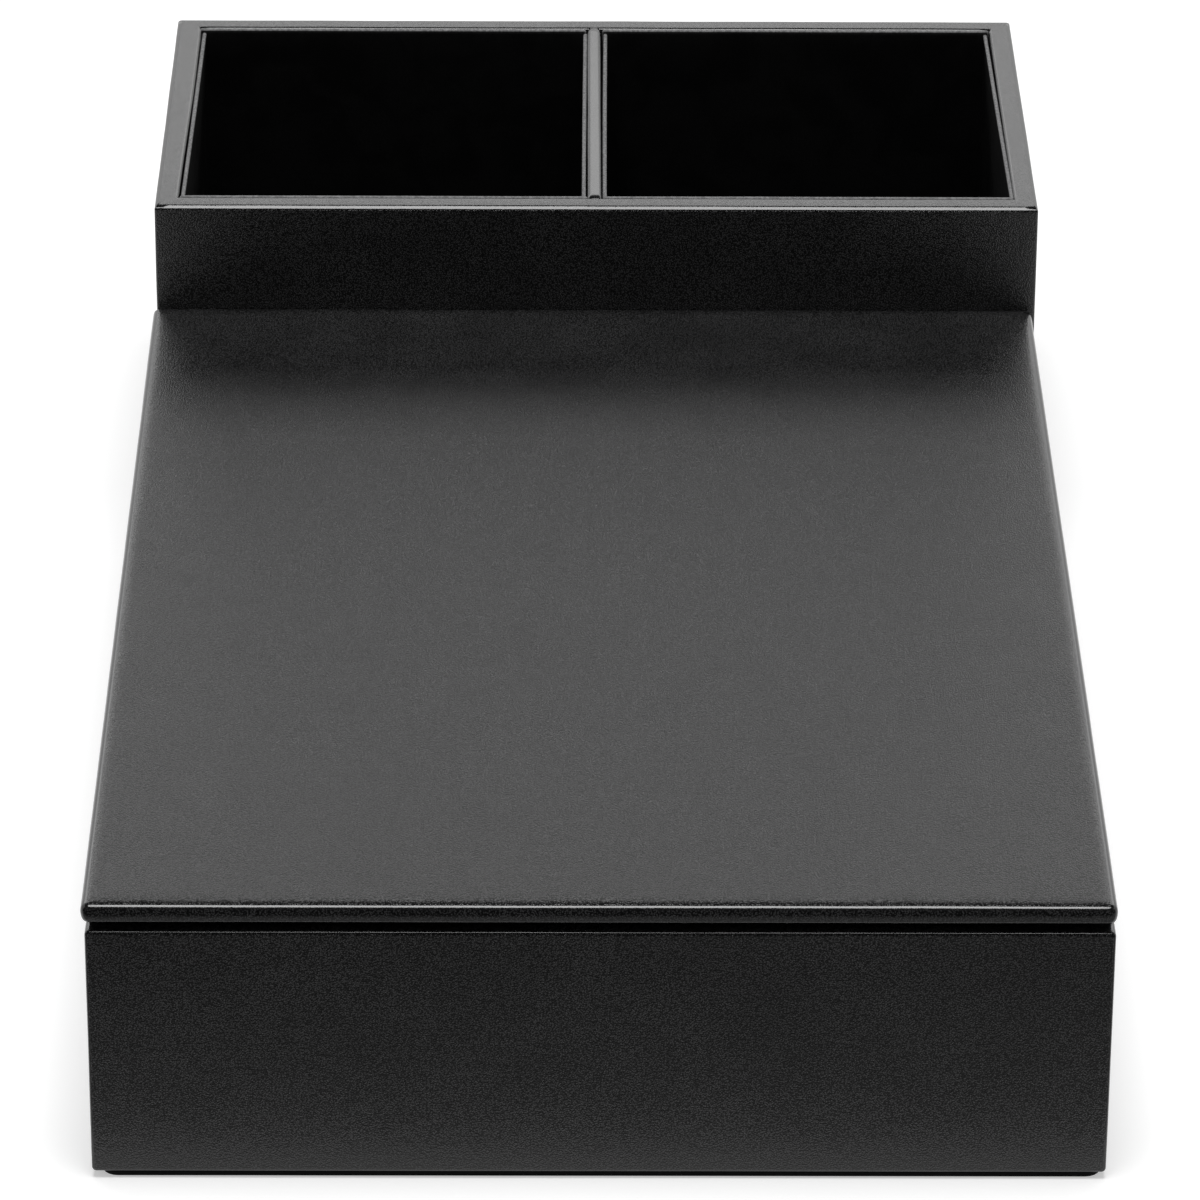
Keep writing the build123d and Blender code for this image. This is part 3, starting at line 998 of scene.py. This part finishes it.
def lineBox(prefix, body, seed, offs):
    # offs is how far the left and the right liner stand off their walls, as at the front, at
    # the back and more in the middle, in mm
    left, right = [standOff(*(off * mm for off in side)) for side in offs]
    # A liner's own front faces into the box
    walls = (
        ("front", facingBack, leanOn(*linerLook["frontTop"])),
        ("back", facingFront, leanOn(*linerLook["backTop"])),
        ("left", facingRight, left),
        ("right", facingLeft, right),
    )
    for k, (side, axes, reshape) in enumerate(walls):
        cardPiece(
            f"{prefix}_{side}_card", f"{prefix}_{side}_liner", axes, body, "velveteen", linerLook,
            seed + k * 3.7, reshape=reshape, paintedLitTop=True,
        )
    pad, _ = cardPiece(
        f"{prefix}_floor_pad", f"{prefix}_pad", upright, body, "velveteen", padLook, seed + 20,
        reshape=crownPad,
    )


# the pieces

# A panel's edge: the curve down from its face, as how far in from the side and how far below
# the face in mm, then how far in and up the back's curve goes, and the radius of the corners.
# The platform rolls over gently before it turns down.
platformLook = {
    "curve": (
        (6.5, 0.0), (5.0, 0.03), (4.0, 0.075), (3.0, 0.155), (2.4, 0.23), (2.0, 0.295),
        (1.6, 0.375), (1.3, 0.455), (1.05, 0.58), (0.85, 0.71), (0.65, 0.87), (0.48, 1.04),
        (0.34, 1.22), (0.22, 1.45), (0.12, 1.75), (0.05, 2.1), (0.0, 2.5),
    ),
    "fold": 1.0 * mm,
    "up": 2.7 * mm,
    "corner": 2.2 * mm,
    "uneven": (0.07 * mm, 34 * mm),
}
faceLook = {
    "curve": [(left, gone) for gone, left in quarterTurn(8, 0.9)],
    "fold": 0.6 * mm,
    "up": 0.6 * mm,
    "corner": 1.2 * mm,
    "uneven": (0.06 * mm, 30 * mm),
}
# A box's wall with its cover on both sides, and how much further the left, right and back
# rims reach in, most towards the back
binBoxLook = {"wall": 6.4 * mm, "cell": 3.0 * mm, "swells": (0.9 * mm, 0.15 * mm, 0.5 * mm)}
drawerBoxLook = {"wall": 5.2 * mm, "cell": 4.0 * mm, "swells": (0.1 * mm, 0.1 * mm, 0.1 * mm)}

platformWrap, cut = wrapPanel(
    "platform_wrap", "platform_cover", upright, platformLook, "carcass", 3.1
)
faceWrap, cut = wrapPanel(
    "drawer_face_wrap", "drawer_face_cover", facingFront, faceLook, "drawer", 8.4
)
binWrap, cut = wrapBox("bin_box_wrap", "bin_box_cover", binBoxLook, "carcass", 5.2)
drawerWrap, cut = wrapBox("drawer_box_wrap", "drawer_box_cover", drawerBoxLook, "drawer", 11.6)
dividerWrap, cut = foldOver("divider_wrap", "divider_cover", 14.9)
for side, inward, seed in (("left", 1, 17.3), ("right", -1, 21.8)):
    wallWrap, cut = wrapSideWall(f"housing_{side}_wrap", f"housing_{side}_cover", inward, seed)
print("leatherette wraps ready")

lineBox("left_bin", "carcass", 31.0, ((0.35, 1.05, 0.12), (0.65, -0.32, 0.05)))
lineBox("right_bin", "carcass", 57.0, ((-0.6, 0.4, -0.1), (-0.33, 0.6, 0.1)))
lineBox("drawer", "drawer", 83.0, ((0.0, 0.2, 0.1), (0.0, 0.2, 0.1)))
print("liners and pads ready")

clothLook = {
    "edge": 0.22 * mm,
    "corners": (0.4 * mm,) * 4,
    "turn": 0.8 * mm,  # radius at the floor cloth's front edge
    "sheet": 0.48 * mm,
    "uneven": (0.05 * mm, 15 * mm),
    "cell": 6 * mm,
}
cloths = (
    ("housing_left_lining", facingRight, "carcass", "housing_left_board"),
    ("housing_right_lining", facingLeft, "carcass", "housing_right_board"),
    ("housing_ceiling_lining", upright, "carcass", "platform_board"),
    ("drawer_under_cloth", upright, "drawer", "drawer_floor_board"),
)
for k, (node, axes, body, board) in enumerate(cloths):
    cloth, cut = cardPiece(
        f"{node}_sheet", node, axes, body, "lining_cloth", clothLook, 101 + 7.3 * k
    )


def floorCloth(node):
    # The cloth that the drawer runs on, lapped over the floor board's front edge
    low, high, middle = extent(node)
    length, height, halfX = high.y - low.y, high.z - low.z, (high.x - low.x) / 2
    turn = clothLook["turn"]
    profile = [(0.0, w) for w in spaced(0, height - turn, 1.5 * mm)]
    profile += [(gone, height - left) for gone, left in quarterTurn(4, turn)[1:]]
    profile += [(u, height) for u in spaced(turn, length, clothLook["cell"])[1:]]
    mesh = sweepSheet(profile, spaced(-halfX, halfX, clothLook["cell"]))
    corner = placed((middle.x, low.y, low.z), (0, 1, 0), (-1, 0, 0), (0, 0, 1))
    piece = finishPiece(
        mesh, f"{node}_sheet", corner, "carcass", "lining_cloth", [node],
        facing=((length / 2, 0, height), (0, 0, 1)), thickness=clothLook["sheet"],
        uneven=clothLook["uneven"], seed=140.0,
    )


floorCloth("housing_floor_lining")

baseCardLook = {
    "edge": 0.5 * mm,
    "corners": (4.0 * mm,) * 4,
    "cell": 6.0 * mm,
    "uneven": (0.03 * mm, 20 * mm),
}
cardPiece("base_felt_card", "base_plate", upright, "carcass", "felt", baseCardLook, 150.0)
for name, node in nodes.items():
    if name.endswith("_board"):
        node.data.materials.clear()
        node.data.materials.append(finishes["fibreboard"])
print("cloths, base card and boards ready")

# floor, light and world

studio = {
    "floorColour": (0.80, 0.80, 0.80, 1),
    "floorGlow": 0.41,
    "floorHalf": 6.0,
    "floorHeight": -0.05 * mm,
    "speckles": 300.0,
    "speckleTone": 0.98,
    "ambient": 0.28,
}

overhead = {
    "place": (0.0, -0.333, 2.52),
    "aim": (0.0, 0.047, -0.08),
    "size": (1.12, 1.24),
    "power": 47.0,
}

behind = {
    "place": (0.0, 1.90, 0.93),
    "aim": (0.0, 0.0, 0.10),
    "size": (2.8, 0.36),
    "power": 4.6,
}

blackFlag = {
    "tones": (0.02, 0.33),  # far out on the table, and by the object
    "fade": (-0.385, -0.315),
    "fadeHeights": (0.005, 0.02),  # above these it has its far tone
    "turn": 7.0,
    "near": -0.258,
    "lift": 0.001,
    "sidesTo": -0.5,
    "size": (2.7, 2.1, 3.0, 4.0),  # half its width, and how far it reaches front, up and back
}


def splitByRay(tree, lighting, shown, outputKind):
    # The camera, mirrors and glass see one shader, and the light on things comes from another
    path = tree.nodes.new("ShaderNodeLightPath")
    seen = mathNode(tree, "MAXIMUM", path.outputs["Is Camera Ray"], path.outputs["Is Glossy Ray"])
    seen = mathNode(tree, "MAXIMUM", seen, path.outputs["Is Transmission Ray"])
    choose = tree.nodes.new("ShaderNodeMixShader")
    for k, source in enumerate((seen, lighting.outputs[0], shown.outputs[0])):
        tree.links.new(source, choose.inputs[k])
    output = tree.nodes.new(outputKind)
    tree.links.new(choose.outputs[0], output.inputs["Surface"])


def addFloor():
    material = bpy.data.materials.new("paleFloor")
    tree = emptyTree(material)
    place = tree.nodes.new("ShaderNodeTexCoord").outputs["Object"]
    speckle = noiseNode(tree, place, studio["speckles"], Detail=2.0)
    base = tree.nodes.new("ShaderNodeBsdfDiffuse")
    pale = studio["floorColour"]
    darker = tuple(c * studio["speckleTone"] for c in pale[:3]) + (1,)
    tree.links.new(mixColours(tree, speckle, darker, pale), base.inputs["Color"])
    glow = addNode(tree, "ShaderNodeEmission", Color=(1, 1, 1, 1), Strength=studio["floorGlow"])
    both = tree.nodes.new("ShaderNodeAddShader")
    tree.links.new(base.outputs[0], both.inputs[0])
    tree.links.new(glow.outputs[0], both.inputs[1])
    splitByRay(tree, base, both, "ShaderNodeOutputMaterial")
    half, height = studio["floorHalf"], studio["floorHeight"]
    mesh = bmesh.new()
    corners = ((-half, -half), (half, -half), (half, half), (-half, half))
    mesh.faces.new([mesh.verts.new((x, y, height)) for x, y in corners])
    floor = meshObject("floor", mesh, material)


def addSoftbox(name, setup):
    light = bpy.data.lights.new(name, "AREA")
    light.shape = "RECTANGLE"
    light.size, light.size_y = setup["size"]
    light.energy = setup["power"]
    softbox = addToScene(name, light)
    softbox.location = setup["place"]
    aim = Vector(setup["aim"]) - Vector(setup["place"])
    softbox.rotation_euler = aim.to_track_quat("-Z", "Y").to_euler()
    softbox.visible_camera = False


def addBlackFlag():
    # A black flag, as a studio uses: on the table in front of the picture, up in front and
    # overhead, open behind. Only reflections meet it, and it keeps the drawer face dark. On
    # the table it fades from grey by the object to black further out.
    material, tree, shader, place = startMaterial("blackFlag")
    turn = (0.0, 0.0, math.radians(blackFlag["turn"]))
    turned = addNode(tree, "ShaderNodeMapping", Vector=place, Rotation=turn)
    split = splitVector(tree, turned.outputs[0])
    tone = rangeNode(tree, split["Y"], *blackFlag["fade"], 0.0, 1.0)
    low = rangeNode(tree, split["Z"], *blackFlag["fadeHeights"], 1.0, 0.0)
    dark, light = [(level, level, level, 1) for level in blackFlag["tones"]]
    colour = mixColours(tree, times(tree, tone, low), dark, light)
    tree.links.new(colour, shader.inputs["Base Color"])
    shader.inputs["Roughness"].default_value = 1.0
    shader.inputs["Specular IOR Level"].default_value = 0.0
    half, front, height, back = blackFlag["size"]
    near, lift, sidesTo = blackFlag["near"], blackFlag["lift"], blackFlag["sidesTo"]
    path = [(near, lift), (-front, lift), (-front, height), (back, height)]
    mesh = bmesh.new()
    loftRings(mesh, [[(x, y, z) for x in (-half, half)] for y, z in path], closed=False)
    for x in (-half, half):
        side = [[(x, y, z) for y in (-front, sidesTo)] for z in (lift, height)]
        loftRings(mesh, side, closed=False)
    flag = meshObject("black_flag", mesh, material)
    flag.visible_camera = flag.visible_diffuse = False
    flag.visible_shadow = flag.visible_transmission = False


def addWorld():
    world = bpy.data.worlds.new("studio")
    tree = emptyTree(world)
    white = (1, 1, 1, 1)
    ambient = addNode(tree, "ShaderNodeBackground", Color=white, Strength=studio["ambient"])
    shown = addNode(tree, "ShaderNodeBackground", Color=white, Strength=1.0)
    splitByRay(tree, ambient, shown, "ShaderNodeOutputWorld")
    bpy.context.scene.world = world


addFloor()
addBlackFlag()
addSoftbox("overhead", overhead)
addSoftbox("behind", behind)
addWorld()
print("floor and lights ready")
